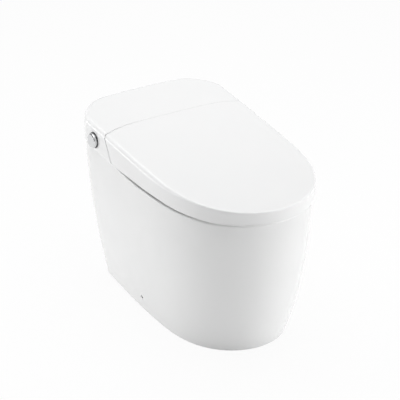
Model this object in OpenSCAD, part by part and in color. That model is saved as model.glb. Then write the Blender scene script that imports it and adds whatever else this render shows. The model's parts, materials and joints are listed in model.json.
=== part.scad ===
// Floor-standing one-piece toilet with a seat, lid and wash unit.
// Millimetres. +Z is up, the front faces -Y, +X is to the right seen from the front.
// The origin lies on the floor, at the centre of the waste outlet.

/* [Overall] */
// Distance from the rear to the front of the lid
cover_len = 720; // [690:1:750]
// Widest distance across the lid
cover_w = 418; // [400:1:440]
// Height of the cover's top plane at the rear
rear_h = 490; // [475:1:520]
// Height of the cover's top plane at the front
front_h = 439; // [437:1:446]
// Distance from the rear to the centre of the waste outlet
outlet_to_rear = 292; // [280:1:305]

/* [Cover outline] */
// Distance from the rear to the widest point of the lid
cover_widest = 296; // [270:1:330]
// Fullness of the front curve, along the length
front_full = 3.6; // [3:0.1:4.2]
// Fullness of the front curve, across the width
side_full = 1.97; // [1.8:0.01:2.2]
// Size of the rear corners
corner_r = 99.5; // [80:0.5:115]
// Fullness of the rear corners
corner_full = 1.86; // [1.7:0.01:2.2]
// Half width behind the corners
rear_half_w = 208.6; // [198:0.1:208.6]
// How far the rear face bows out between its corners
rear_bow = 12; // [0:1:20]
// Radius round the cover's top edge
edge_r = 13.2; // [8:0.1:18]

/* [Cover split] */
// Distance from the rear to the middle of the line between housing and lid
split_s = 170.5; // [165:0.5:185]
// How far the line comes forward at the sides
split_bow = 33.5; // [20:0.5:45]
// Forward lean of the split in the middle, per millimetre of depth
lean_mid = 0.8; // [0.75:0.01:1]
// Forward lean of the split at the sides
lean_side = 0.45; // [0.4:0.01:0.6]
// Gap between housing and lid
split_gap = 1.8; // [0.8:0.1:2]
// Height of the lower edge of lid and housing
skirt_z = 407; // [406:0.5:409]
// Rise of the seam below the housing towards the rear, per millimetre
seam_rise = 0.083; // [0:0.001:0.09]
// Gap between the housing and the ceramic body
seam_gap = 0.8; // [0.4:0.1:0.9]
// Wall of the lid
lid_wall = 3.5; // [3:0.1:4]
// Wall of the housing
housing_wall = 3; // [2.5:0.1:3.5]

/* [Ceramic body] */
// Height of the rim
rim_z = 397.4; // [394:0.1:399]
// How far the lid reaches past the rim at the front
rim_inset_front = 14.7; // [8:0.1:20]
// How far the lid reaches past the rim on each side
rim_inset_side = 3.1; // [2:0.1:6]
// How far the rim stands in at the rear
rim_inset_rear = 3.3; // [2:0.1:6]
// Length of the foot
foot_len = 623.7; // [600:1:640]
// Greatest width of the foot
foot_w = 318; // [300:1:330]
// Distance from the rear to the widest point of the foot
foot_widest = 381; // [350:1:400]
// Fullness of the foot's front curve, along the length
foot_front_full = 2.71; // [2.4:0.01:3]
// Size of the foot's rear corners
foot_corner_r = 84; // [60:1:95]
// Fullness of the foot's rear corners
foot_corner_full = 1.65; // [1.6:0.01:2]
// Half width of the foot behind its corners
foot_rear_half_w = 140; // [130:1:150]
// How the front face curves out towards the rim
curve_front = 2.43; // [2:0.01:2.8]
// How the sides curve out towards the rim
curve_side = 1.55; // [1.4:0.01:1.8]
// How the rear face curves out towards the rim
curve_rear = 2.03; // [1.6:0.01:2.4]
// Wall of the skirt
skirt_wall = 10; // [8:0.5:12]
// Thickness of the deck and rim
deck_t = 16; // [13:0.5:20]
// Radius round the rim's outer edge
rim_r = 5; // [3:0.5:7]
// Thickness of the wall that rises round the deck
upstand_t = 12; // [10:0.5:12.5]

/* [Bowl] */
// Distance from the rear to the middle of the bowl's opening
bowl_s = 467; // [460:1:472]
// Length of the bowl's opening
bowl_len = 376; // [360:1:384]
// Width of the bowl's opening
bowl_w = 272; // [256:1:280]
// Fullness of the bowl's outline
bowl_full = 2.3; // [2:0.1:2.6]
// Depth of the dished part
dish_depth = 215; // [195:1:225]
// Length and width of the sump as a share of the opening
sump_share = 0.36; // [0.33:0.01:0.4]
// Height of the sump's floor
sump_z = 92; // [85:1:100]
// Distance from the rear to the middle of the sump
sump_s = 436; // [430:1:440]
// Wall of the bowl
bowl_wall = 9; // [8:0.5:11]
// Radius round the bowl's lip
lip_r = 6; // [4:0.5:8]

/* [Trapway] */
// Radius of the passage
trap_r = 27; // [25:0.5:29]
// Wall round the passage
trap_wall = 8; // [7:0.5:9]
// Radius of the passage's turn over the weir
trap_bend_r = 34; // [32:0.5:37]
// Height of the centre of that turn
trap_bend_z = 182; // [176:1:188]
// Slope of the rising leg, in degrees
trap_rise = 60; // [57:1:63]
// Length of the rising leg
trap_leg = 96; // [90:1:104]
// Radius of the outlet's bore
outlet_r = 30; // [29:0.5:32]
// Radius round the outlet horn
horn_r = 46; // [43:0.5:50]
// Height of the outlet horn's lower end over the floor
horn_z = 12; // [8:0.5:16]
// Length of the outlet's bore
horn_len = 42; // [35:1:50]

/* [Hinge] */
// Distance from the rear to the hinge axis
hinge_s = 153; // [151:0.5:154]
// Depth of the hinge axis below the cover's top
hinge_drop = 12.7; // [12.5:0.1:13.5]
// Radius of the hinge pins
pin_r = 4; // [3.5:0.1:4.2]
// Radial clearance of the arms on the pins
pin_play = 0.05; // [0.03:0.01:0.1]
// Radius of the arms' eyes
eye_r = 8; // [7:0.1:8.2]
// Thickness of an arm
arm_t = 12; // [9:0.5:13]
// Half distance between the middles of the seat's arms
seat_arm_x = 110; // [108:0.5:111]
// Half distance between the middles of the lid's arms
lid_arm_x = 127; // [126:0.5:130]
// Radius of the dampers
damper_r = 8.5; // [7.5:0.1:8.8]
// Length of a damper
damper_len = 40; // [32:1:46]

/* [Seat] */
// Height of the seat's crown
seat_top_z = 431; // [429.5:0.1:431.5]
// Height of the underside of the seat
seat_low_z = 400.4; // [400:0.1:401]
// Gap between the seat's edge and the lid's edge line
seat_inset = 6; // [5.5:0.1:7.5]
// How much each side of the seat draws in towards the hinge
seat_taper = 13; // [12:0.5:16]
// Distance from the rear at which the seat starts to draw in
taper_s = 500; // [480:5:520]
// Distance from the rear to the seat's rear edge
seat_rear_s = 238; // [236:0.5:242]
// Distance from the rear to the middle of the seat's opening
hole_s = 498; // [492:1:502]
// Length of the seat's opening
hole_len = 290; // [275:1:300]
// Width of the seat's opening
hole_w = 210; // [200:1:220]
// Wall of the seat's shell
seat_wall = 3; // [2.5:0.1:3.5]
// Thickness of the seat's bottom plate
seat_plate_t = 3; // [2.5:0.1:3.5]

/* [Wash wands] */
// Downward slope of the wands, in degrees
wand_tilt = 25; // [24:0.5:26]
// Distance from the rear to the wands' exit
wand_s = 250; // [248:0.5:252]
// Height of the wands' exit
wand_z = 381; // [379:0.5:382]
// Half distance between the two wands
wand_x = 14; // [12.5:0.5:15]
// Radius of a wand
wand_r = 6.5; // [6:0.1:7]
// Length of a wand behind its exit
wand_len = 200; // [192:1:206]
// Running clearance of a wand in its guide
wand_play = 0.08; // [0.05:0.01:0.1]

/* [Knob] */
// Distance from the rear to the knob's axis
knob_s = 139; // [136:1:142]
// Height of the knob's axis
knob_z = 439.2; // [438:0.1:441]
// Diameter of the knob
knob_d = 39; // [36:0.5:40]
// How far the knob stands out of the housing
knob_out = 10.5; // [9:0.5:13]
// How far the knob can be pressed in
knob_travel = 2; // [1.5:0.1:2.5]

/* [Side fixing] */
// Height of the side fixing holes
fix_z = 40; // [34:1:46]
// Distance from the rear to the side fixing holes
fix_s = 305; // [298:1:312]
// Radius of the side fixing holes
fix_r = 4.5; // [4:0.1:5]

/* [Hidden] */
// Gap between pieces that rest on each other
seat_gap = 0.3;
$fn = 48;

// Curves, as functions of a few sizes
function reversed(v) = [for (i = [len(v) - 1:-1:0]) v[i]];
function clip01(v) = min(1, max(0, v));
// Half of a plan outline, as [x, distance from the rear], from the rear middle to the front middle
function half_outline(len_s, width, widest, fl, fw, cr, cf, half_w, bow) = [
    for (p = concat(
        [for (k = [0:1]) [k / 2 * (half_w - cr), 0]],
        [for (k = [0:6]) let (t = k * 15)
            [half_w - cr + cr * pow(sin(t), 2 / cf), cr - cr * pow(cos(t), 2 / cf)]],
        [for (k = [1:4]) let (u = k / 4)
            [half_w + (width / 2 - half_w) * sin(u * 90), cr + u * (widest - cr)]],
        [for (k = [1:13]) let (t = k * 90 / 13)
            [k == 13 ? 0 : width / 2 * pow(cos(t), 2 / fw), widest + (len_s - widest) * pow(sin(t), 2 / fl)]]))
        [p[0], p[1] + bow * pow(p[0] / half_w, 2) * pow(clip01(1 - p[1] / widest), 2)]
];
// The whole ring from its half, clockwise seen from above
function whole(half) = concat(half, [for (i = [len(half) - 2:-1:1]) [-half[i][0], half[i][1]]]);
// A ring moved inwards by d
function inset_ring(r, d) = let (n = len(r)) [
    for (i = [0:n - 1])
        let (a = r[(i + n - 1) % n], b = r[(i + 1) % n], t = b - a, l = norm(t))
            [r[i][0] - d * t[1] / l, r[i][1] + d * t[0] / l]
];
// Rings are held as [x, distance from the rear]; this gives points in the part's own frame
function place(r, z) = [for (p = r) [p[0], outlet_to_rear - p[1], z]];
// A superellipse round [0, mid], through the directions of another ring's points
function oval_at(r, mid, half_len, half_wide, full) = [
    for (p = r)
        let (d = [p[0], p[1] - mid], l = norm(d), u = d / l,
            k = 1 / pow(pow(abs(u[0]) / half_wide, full) + pow(abs(u[1]) / half_len, full), 1 / full))
            [u[0] * k, mid + u[1] * k]
];

// Half the width of a ring at distance s from the rear, ahead of its rear corners
function half_width(r, s) = lookup(s, [for (p = r) if (p[0] > 0) [p[1], p[0]]]);

// A closed solid through a stack of rings, each with a fan to its own middle at the ends
module loft(rings) {
    n = len(rings[0]);
    m = len(rings);
    sides = [
        for (k = [0:m - 2], i = [0:n - 1])
            let (a = k * n + i, b = k * n + (i + 1) % n)
                each [[a, b, b + n], [a, b + n, a + n]]
    ];
    low = [for (i = [0:n - 1]) [(i + 1) % n, i, m * n]];
    high = [for (i = [0:n - 1]) [(m - 1) * n + i, (m - 1) * n + (i + 1) % n, m * n + 1]];
    polyhedron(
        concat([for (r = rings) each r], [ring_middle(rings[0]), ring_middle(rings[m - 1])]),
        concat(sides, low, high));
}
function ring_middle(r) = [for (c = [0:2]) [for (p = r) p[c]] * [for (p = r) 1 / len(r)]];
// A closed hoop through rings that end where they start
module hoop(rings) {
    n = len(rings[0]);
    m = len(rings);
    polyhedron(
        [for (r = rings) each r],
        [
            for (k = [0:m - 1], i = [0:n - 1])
                let (j = (i + 1) % n, a = k * n, b = (k + 1) % m * n)
                    each [[a + i, a + j, b + j], [a + i, b + j, b + i]]
        ]);
}

// The cover: lid and housing share one outline and one sloping top plane
cover_ring = whole(half_outline(cover_len, cover_w, cover_widest, front_full, side_full,
    corner_r, corner_full, rear_half_w, rear_bow));
function top_at(s) = rear_h + (front_h - rear_h) * s / cover_len;
// The block inside the cover's outline, d in from its outer surface
module cover_block(d, low_z, steps) {
    side = inset_ring(cover_ring, d);
    r = edge_r - d;
    loft(concat([place(side, low_z)], [
        for (k = [0:steps])
            let (t = k * 90 / steps, ring = inset_ring(side, r * (1 - cos(t))))
                [for (p = ring) [p[0], outlet_to_rear - p[1], top_at(p[1]) - d - r * (1 - sin(t))]]
    ]));
}
// Distance from the rear to the split at width x and height z
function split_at(x, z) = let (w = pow(min(1.1, abs(x) / rear_half_w), 4), s = split_s + split_bow * w)
    s + (lean_mid + (lean_side - lean_mid) * min(1, w)) * (top_at(s) - z);
// The space on one side of the split: side 1 is the lid's, side -1 the housing's
module split_space(side) {
    x_end = cover_w / 2 + 12;
    z_low = skirt_z - 15;
    z_high = rear_h + 10;
    far = side > 0 ? cover_len + 20 : -20;
    xs = [for (k = [-12:12]) k / 12 * x_end];
    rings = [
        for (x = xs)
            [for (z = [z_low, z_high]) [x, outlet_to_rear - split_at(x, z) - side * split_gap / 2, z]]
    ];
    n = len(xs);
    points = concat(
        [for (r = rings) r[0]], [for (r = rings) r[1]],
        [for (x = xs) [x, outlet_to_rear - far, z_low]], [for (x = xs) [x, outlet_to_rear - far, z_high]]);
    // Rows: 0 split low, 1 split high, 2 far low, 3 far high
    quads = concat(
        [for (i = [0:n - 2]) [i, i + 1, n + i + 1, n + i]],
        [for (i = [0:n - 2]) [2 * n + i + 1, 2 * n + i, 3 * n + i, 3 * n + i + 1]],
        [for (i = [0:n - 2]) [n + i, n + i + 1, 3 * n + i + 1, 3 * n + i]],
        [for (i = [0:n - 2]) [i + 1, i, 2 * n + i, 2 * n + i + 1]],
        [[0, n, 3 * n, 2 * n], [n - 1, 3 * n - 1, 4 * n - 1, 2 * n - 1]]);
    tris = [for (q = quads) each [[q[0], q[1], q[2]], [q[0], q[2], q[3]]]];
    polyhedron(points, side > 0 ? tris : [for (t = tris) reversed(t)]);
}

// The seam below the housing meets the split at the side
seam_s = split_at(rear_half_w, skirt_z);
module rear_housing() {
    color("white")
        difference() {
            intersection() {
                difference() {
                    cover_block(0, skirt_z, 4);
                    cover_block(housing_wall, skirt_z - 5, 3);
                }
                split_space(-1);
            }
            knob_at() translate([0, 0, -7]) cylinder(r = bezel_bore_r + 1.5, h = 20);
            // Everything below the rising seam
            translate([0, outlet_to_rear - seam_s, skirt_z]) rotate([atan(seam_rise), 0, 0])
                translate([-cover_w, 0, -2 * edge_r]) cube([2 * cover_w, cover_len, 2 * edge_r]);
        }
}

module lid_shell() {
    color("white")
        intersection() {
            difference() {
                cover_block(0, skirt_z, 4);
                cover_block(lid_wall, skirt_z - 5, 3);
            }
            split_space(1);
        }
}

// The ceramic body
foot_ring = [
    for (p = whole(half_outline(foot_len, foot_w, foot_widest, foot_front_full, 2, foot_corner_r,
        foot_corner_full, foot_rear_half_w, 0))) [p[0], p[1] + 1.3]
];
rim_ring = [
    for (p = whole(half_outline(cover_len - rim_inset_front, cover_w - 2 * rim_inset_side, cover_widest,
        front_full, side_full, corner_r, corner_full, rear_half_w - rim_inset_side, rear_bow)))
        [p[0], p[1] + rim_inset_rear * clip01(1 - p[1] / 200)]
];
// The body's outline at height z
function body_ring(z) = let (u = clip01(z / rim_z), gs = 1 - pow(1 - u, curve_side),
    gf = 1 - pow(1 - u, curve_front), gr = 1 - pow(1 - u, curve_rear)) [
    for (i = [0:len(foot_ring) - 1])
        let (b = foot_ring[i], t = rim_ring[i], w = clip01(b[1] / 300))
            [b[0] + (t[0] - b[0]) * gs, b[1] + (t[1] - b[1]) * (gf * w + gr * (1 - w))]
];
deck_low = rim_z - deck_t;
// Height of the rim's top: level in front, and rising beside and behind the wash unit
function rim_top(s) = max(rim_z, skirt_z - seam_gap + seam_rise * (seam_s - s));
module body_hollow() {
    levels = [0, 0.1, 0.22, 0.38, 0.56, 0.78, (deck_low + 1) / rim_z];
    loft(concat(
        [place(inset_ring(body_ring(0), skirt_wall), -1)],
        [for (u = levels) place(inset_ring(body_ring(u * rim_z), skirt_wall), u * rim_z)]));
}
// The rim and deck, with a wall that rises round the wash unit's tray
module deck_block() {
    function rim_line(d, drop) = [
        for (p = inset_ring(rim_ring, d)) [p[0], outlet_to_rear - p[1], rim_top(p[1]) - drop]
    ];
    loft(concat(
        [place(body_ring(deck_low), deck_low)],
        [for (t = [0, 45, 90]) rim_line(rim_r * (1 - cos(t)), rim_r * (1 - sin(t)))],
        [rim_line(upstand_t, 0), place(inset_ring(rim_ring, upstand_t + 1), rim_z)]));
}
// Bowl sections, from the rim down to the sump
function bowl_levels() = concat(
    [for (t = [0, 18, 35, 50, 64, 78, 90])
        [rim_z - dish_depth * sin(t), sump_share + (1 - sump_share) * cos(t), sin(t)]],
    [[(rim_z - dish_depth + sump_z) / 2, sump_share * 0.88, 1], [sump_z + 14, sump_share * 0.74, 1],
        [sump_z, sump_share * 0.5, 1]]);
function bowl_ring(level, grow) = oval_at(rim_ring, bowl_s, bowl_len / 2 * level[1] + grow,
    bowl_w / 2 * level[1] + grow, bowl_full);
function bowl_place(level, grow, z) = [
    for (p = bowl_ring(level, grow)) [p[0], outlet_to_rear - p[1] - (sump_s - bowl_s) * level[2], z]
];
module bowl_inside() {
    v = bowl_levels();
    loft(reversed(concat(
        [bowl_place(v[0], lip_r, rim_z + 1), bowl_place(v[0], lip_r, rim_z),
            bowl_place(v[0], lip_r * 0.3, rim_z - lip_r * 0.3), bowl_place(v[0], 0, rim_z - lip_r)],
        [for (k = [1:len(v) - 1]) bowl_place(v[k], 0, v[k][0])])));
}
module bowl_outside() {
    v = bowl_levels();
    loft(reversed(concat(
        [bowl_place(v[0], bowl_wall, deck_low)],
        [for (k = [1:len(v) - 1]) bowl_place(v[k], bowl_wall, v[k][0] - (k > 6 ? bowl_wall / 2 : 0))],
        [bowl_place(v[len(v) - 1], 0, sump_z - bowl_wall)])));
}
// Middle line of the trapway in its plane, as [distance from the rear, height, direction]
trap_mid_s = outlet_to_rear + trap_bend_r;
trap_top = [
    for (k = [0:8])
        let (a = (90 - trap_rise) + k * (180 - (90 - trap_rise)) / 8)
            [trap_mid_s + trap_bend_r * cos(a), trap_bend_z + trap_bend_r * sin(a), a + 90]
];
trap_line = concat(
    [for (l = [trap_leg, trap_leg / 2])
        [trap_top[0][0] + l * cos(trap_rise), trap_top[0][1] - l * sin(trap_rise), trap_top[0][2]]],
    trap_top,
    [for (z = [trap_bend_z - 45, trap_bend_z - 90, horn_z + 20]) [outlet_to_rear, z, 270]]);
module trap_tube(r) {
    n = 16;
    loft([
        for (p = trap_line)
            [for (k = [0:n - 1])
                let (a = k * 360 / n, u = r * cos(a), w = r * sin(a))
                    [-w, outlet_to_rear - (p[0] + u * cos(p[2] - 90)), p[1] + u * sin(p[2] - 90)]]
    ]);
}
// Places in the deck
bay_x = 150;
bay_near = 60;
bay_far = 214;
notch_x = 62;
notch_z = 356;
bolt_places = [[170, 80], [178, 200]];
flush_x = 80;
flush_z = 370;
flush_r = 9;
window_x = 66;
window_low = 70;
window_high = 300;

// The ceramic body is one fired piece, cast in four sections: skirt, deck, bowl and trapway
module ceramic_skirt() {
    levels = [0, 0.05, 0.12, 0.2, 0.29, 0.39, 0.5, 0.62, 0.75, 0.88, deck_low / rim_z];
    color("white")
        difference() {
            loft([for (u = levels) place(body_ring(u * rim_z), u * rim_z)]);
            body_hollow();
            // Service window in the rear wall
            box_s(-window_x, window_x, -10, 60, window_low, window_high);
            for (side = [-1, 1])
                translate([side * 130, outlet_to_rear - fix_s, fix_z])
                    rotate([0, side * 90, 0]) cylinder(r = fix_r, h = 60);
        }
}
module deck_notch() box_s(-notch_x, notch_x, bay_far - 1, bowl_s - bowl_len / 2 + 12, notch_z, rim_z + 5);
module ceramic_deck() {
    color("white")
        difference() {
            deck_block();
            bowl_inside();
            // Bay for what hangs below the tray, and the notch for the wands
            box_s(-bay_x, bay_x, bay_near, bay_far, deck_low - 5, rim_z + 5);
            deck_notch();
            for (side = [-1, 1], b = bolt_places)
                translate([side * b[0], outlet_to_rear - b[1], deck_low - 5]) cylinder(r = 4, h = deck_t + 10);
        }
}
module ceramic_bowl() {
    color("white")
        difference() {
            bowl_outside();
            bowl_inside();
            trap_tube(trap_r);
            deck_notch();
            // Flush inlet through the bowl's rear wall
            translate([flush_x, outlet_to_rear - 280, flush_z]) rotate([90, 0, 0]) cylinder(r = flush_r + 0.6, h = 60);
        }
}
module ceramic_trapway() {
    color("white")
        difference() {
            union() {
                trap_tube(trap_r + trap_wall);
                at_s(outlet_to_rear, horn_z) cylinder(r = horn_r, h = horn_len);
            }
            bowl_outside();
            trap_tube(trap_r);
            at_s(outlet_to_rear, horn_z - 1) cylinder(r = outlet_r, h = horn_len + 1);
        }
}
// Helpers that take distances from the rear
module at_s(s, z) translate([0, outlet_to_rear - s, z]) children();
module box_s(x0, x1, s0, s1, z0, z1) translate([x0, outlet_to_rear - s1, z0]) cube([x1 - x0, s1 - s0, z1 - z0]);
// A profile in [distance from the rear, height], extruded along X between x0 and x1
module side_profile(points, x0, x1)
    translate([x0, 0, 0]) rotate([90, 0, 90]) linear_extrude(x1 - x0)
        polygon([for (p = points) [outlet_to_rear - p[0], p[1]]]);

// Wash unit tray on the deck
tray_low = rim_z + seat_gap;
tray_floor = tray_low + 3;
tray_front = 232;
tray_rim_z = skirt_z - 0.5;
module tray_outline(d) polygon([for (p = inset_ring(rim_ring, d)) [p[0], outlet_to_rear - p[1]]]);
module chassis_tray() {
    color("gainsboro")
        difference() {
            intersection() {
                translate([0, 0, tray_low]) linear_extrude(tray_rim_z - tray_low) tray_outline(upstand_t + 1 + seat_gap);
                box_s(-250, 250, -10, tray_front, tray_low - 1, tray_rim_z + 1);
            }
            intersection() {
                translate([0, 0, tray_floor]) linear_extrude(10) tray_outline(upstand_t + 1 + seat_gap + 3.5);
                box_s(-250, 250, -20, tray_front - 3.5, tray_floor - 1, tray_rim_z + 2);
            }
            box_s(-notch_x + 1, notch_x - 1, 176, tray_front + 5, tray_low - 1, tray_rim_z + 2);
            for (side = [-1, 1], b = bolt_places)
                translate([side * b[0], outlet_to_rear - b[1], tray_low - 1]) cylinder(r = 3.4, h = 6);
            translate([inlet_x, outlet_to_rear - inlet_s, tray_low - 1]) cylinder(r = 13.3, h = 6);
            translate([inlet_x, outlet_to_rear - pipe_s, tray_low - 1]) cylinder(r = flush_r + 0.3, h = 6);
            translate([gland_x, outlet_to_rear - gland_s, tray_low - 1]) cylinder(r = 6.2, h = 6);
        }
}

// Hinge
hinge_y = outlet_to_rear - hinge_s;
hinge_z = top_at(hinge_s) - hinge_drop;
module on_hinge(x) translate([x, hinge_y, hinge_z]) rotate([0, 90, 0]) children();
// Profile points relative to the hinge axis, as [forward, up]
function from_hinge(v) = [for (p = v) [hinge_s + p[0], hinge_z + p[1]]];
pin_in = 96;
pin_out = lid_arm_x + arm_t / 2 + 5;
module hinge_pins() {
    color("silver")
        for (side = [-1, 1])
            on_hinge(side > 0 ? pin_in : -pin_out) cylinder(r = pin_r, h = pin_out - pin_in);
}
module damper(side) {
    on_hinge(side > 0 ? pin_out + seat_gap : -pin_out - damper_len - seat_gap) cylinder(r = damper_r, h = damper_len);
}
module lid_damper() color("dimgray") damper(1);
module seat_damper() color("dimgray") damper(-1);
module hinge_brackets() {
    cradle_x = pin_out + seat_gap + 4;
    color("gainsboro")
        for (side = [-1, 1])
            mirror([side < 0 ? 1 : 0, 0, 0]) {
                difference() {
                    box_s(cradle_x, cradle_x + damper_len - 8, hinge_s - 12, hinge_s + 11, tray_floor + seat_gap, hinge_z);
                    on_hinge(cradle_x - 5) cylinder(r = damper_r + seat_gap, h = damper_len + 10);
                }
                difference() {
                    union() {
                        side_profile(from_hinge([[-8, 0], [-20, tray_floor + seat_gap - hinge_z],
                            [20, tray_floor + seat_gap - hinge_z], [8, 0]]), pin_in, pin_in + 5);
                        on_hinge(pin_in) cylinder(r = eye_r, h = 5);
                    }
                    on_hinge(pin_in - 1) cylinder(r = pin_r + 0.02, h = 7);
                }
            }
}
// Hooked arms: the eye, a leg down behind the housing's edge and a foot forward
seat_foot_top = seat_low_z + seat_plate_t + 18.5;
seat_foot_t = 10;
module arm_eye(x, shape) {
    difference() {
        union() {
            on_hinge(x - arm_t / 2) cylinder(r = eye_r, h = arm_t);
            side_profile(from_hinge(shape), x - arm_t / 2, x + arm_t / 2);
        }
        on_hinge(x - arm_t) cylinder(r = pin_r + pin_play, h = 2 * arm_t);
    }
}
module seat_arms() {
    t = seat_foot_top - hinge_z;
    end = seat_rear_s + 46 - hinge_s;
    color("gainsboro")
        for (x = [-seat_arm_x, seat_arm_x])
            arm_eye(x, [[-eye_r, 0], [-eye_r, t - seat_foot_t], [end, t - seat_foot_t], [end, t], [4, t], [0, t + 6], [0, 0]]);
}
lid_foot_top = -28;
hook_in = 28;
function lid_under(f) = top_at(hinge_s + f) - lid_wall - seat_gap - hinge_z;
module lid_arms() {
    color("gainsboro")
        for (x = [-lid_arm_x, lid_arm_x])
            arm_eye(x, [[-eye_r, 0], [-eye_r, lid_foot_top - 8], [34, lid_foot_top - 8], [40, lid_foot_top - 2],
                [40, -6], [90, lid_under(90) - 8], [94, lid_under(94)], [hook_in, lid_under(hook_in)],
                [hook_in, lid_foot_top], [4, lid_foot_top], [0, lid_foot_top + 4], [0, 0]]);
}

// Seat
seat_len = cover_len - seat_inset - seat_rear_s;
// 1 at the seat's rear edge, falling smoothly to 0 where the seat has its full width
function taper_at(s) = let (w = clip01((taper_s - s) / (taper_s - seat_rear_s))) w * w * (3 - 2 * w);
seat_ring_line = [
    for (p = whole(half_outline(seat_len, cover_w - 2 * seat_inset, cover_widest - seat_rear_s, front_full,
        side_full, 34, 2, rear_half_w - seat_inset - 1, 0)))
        let (s = p[1] + seat_rear_s) [p[0] * (1 - taper_at(s) * seat_taper / rear_half_w), s]
];
function hole_ring(grow) = oval_at(seat_ring_line, hole_s, hole_len / 2 + grow, hole_w / 2 + grow, 2.3);
function seat_rim(d, z) = place(inset_ring(seat_ring_line, d), z);
seat_shell_z = seat_low_z + seat_plate_t + seat_gap;
module seat_ring() {
    h = seat_top_z;
    w = seat_wall;
    color("white")
        difference() {
            // Up the outside, over the crown, down to the opening, and back along the inside
            hoop([
                seat_rim(0, seat_shell_z), seat_rim(0, h - 12), seat_rim(3, h - 4), seat_rim(12, h),
                place(hole_ring(22), h - 0.5), place(hole_ring(7), h - 5), place(hole_ring(0), h - 14),
                place(hole_ring(0), seat_shell_z), place(hole_ring(w), seat_shell_z),
                place(hole_ring(w), h - 14 - w), place(hole_ring(22), h - 0.5 - w), seat_rim(12, h - w),
                seat_rim(w, h - 12 - w), seat_rim(w, seat_shell_z)
            ]);
            for (x = [-seat_arm_x, seat_arm_x])
                box_s(x - arm_t / 2 - 0.4, x + arm_t / 2 + 0.4, seat_rear_s - 2, seat_rear_s + 4 * w,
                    seat_foot_top - seat_foot_t - 0.4, seat_foot_top + 0.4);
        }
}
module ring_plate(d, z, t) {
    translate([0, 0, z]) linear_extrude(t)
        difference() {
            polygon([for (p = inset_ring(seat_ring_line, d)) [p[0], outlet_to_rear - p[1]]]);
            polygon([for (p = hole_ring(d)) [p[0], outlet_to_rear - p[1]]]);
        }
}
module seat_bottom() color("whitesmoke") ring_plate(0, seat_low_z, seat_plate_t);
module seat_heater() color("orange") ring_plate(26, seat_top_z - seat_wall - 1.8, 1);
seat_bumper_places = [[168, 400], [112, 636]];
module seat_bumpers() {
    color("lightgray")
        for (side = [-1, 1], b = seat_bumper_places)
            translate([side * b[0], outlet_to_rear - b[1], rim_z + seat_gap])
                cylinder(r = 9, h = seat_low_z - rim_z - 2 * seat_gap);
}
lid_bumper_places = [[128, 590], [66, 668]];
module lid_bumpers() {
    color("lightgray")
        for (side = [-1, 1], b = lid_bumper_places)
            translate([side * b[0], outlet_to_rear - b[1], seat_top_z + seat_gap])
                cylinder(r = 7, h = top_at(b[1] + 7) - lid_wall - seat_top_z - 2 * seat_gap);
}

// Knob on the side of the housing; its own Z points outwards, from the housing's surface
knob_x = rear_half_w;
module knob_at() translate([-knob_x, outlet_to_rear - knob_s, knob_z]) rotate([0, -90, 0]) children();
bezel_bore_r = knob_d / 2 + 0.6;
module knob_bezel() {
    color("silver")
        knob_at()
            difference() {
                union() {
                    translate([0, 0, -5.5]) cylinder(r = bezel_bore_r + 1.2, h = 8);
                    translate([0, 0, -9.5]) cylinder(r = bezel_bore_r + 1.2, h = 4.1);
                }
                translate([0, 0, -7]) cylinder(r = bezel_bore_r, h = 20);
                translate([0, 0, -12]) cylinder(r = 6.5, h = 20);
            }
}
module control_knob() {
    r = knob_d / 2;
    color("silver")
        knob_at()
            difference() {
                rotate_extrude()
                    polygon([[0, -3.5], [r - 1, -3.5], [r, -2.5], [r, knob_out - 2], [r - 2, knob_out], [0, knob_out]]);
                translate([0, 0, -4]) cylinder(r = 5 + 0.05, h = 9);
            }
}
module knob_sleeve() {
    color("gray")
        knob_at() {
            translate([0, 0, -16]) cylinder(r = 5, h = 20.7);
        }
}
module knob_encoder() {
    color("darkslategray")
        knob_at()
            difference() {
                translate([-12, -12, -34]) cube([24, 24, 24.2]);
                translate([0, 0, -19]) cylinder(r = 5.06, h = 20);
            }
}

// Wash wands; local Z points out along a wand and 0 is at the exit
module along_wand(x) translate([x, outlet_to_rear - wand_s, wand_z]) rotate([90 + wand_tilt, 0, 0]) children();
tip_len = 22;
guide_half_x = wand_x + 16;
module wand_guide() {
    color("lightgray")
        difference() {
            union() {
                along_wand(0) translate([-guide_half_x, -11, -104]) cube([2 * guide_half_x, 22, 104 - tip_len - seat_gap - 2]);
                box_s(-guide_half_x, guide_half_x, 157, 174, tray_floor + seat_gap, tray_floor + 12);
            }
            for (x = [-wand_x, wand_x])
                along_wand(x) translate([0, 0, -110]) cylinder(r = wand_r + wand_play, h = 110);
        }
}
module wand_nose() {
    color("whitesmoke")
        difference() {
            along_wand(0) translate([-guide_half_x, -11.5, -tip_len - 2]) cube([2 * guide_half_x, 21, tip_len + 1]);
            for (x = [-wand_x, wand_x])
                along_wand(x) translate([0, 0, -30]) cylinder(r = wand_r + 1.6, h = 40);
        }
}
module wand_tube(x) {
    along_wand(x) translate([0, 0, -wand_len]) cylinder(r = wand_r, h = wand_len - tip_len);
}
module wand_tip(x) {
    along_wand(x) {
        translate([0, 0, -tip_len]) cylinder(r = wand_r + 1, h = tip_len - 1 + 0.5);
        translate([0, 0, -0.6]) cylinder(r = wand_r + 4, h = 3);
    }
}
module rear_wand() color("silver") wand_tube(-wand_x);
module rear_wand_tip() color("whitesmoke") wand_tip(-wand_x);
module front_wand() color("silver") wand_tube(wand_x);
module front_wand_tip() color("whitesmoke") wand_tip(wand_x);
module wand_motors() {
    color("silver")
        for (z = [-85, -60])
            along_wand(0) translate([-guide_half_x - seat_gap, 14, z]) rotate([0, -90, 0]) cylinder(r = 12, h = 17);
}

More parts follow.
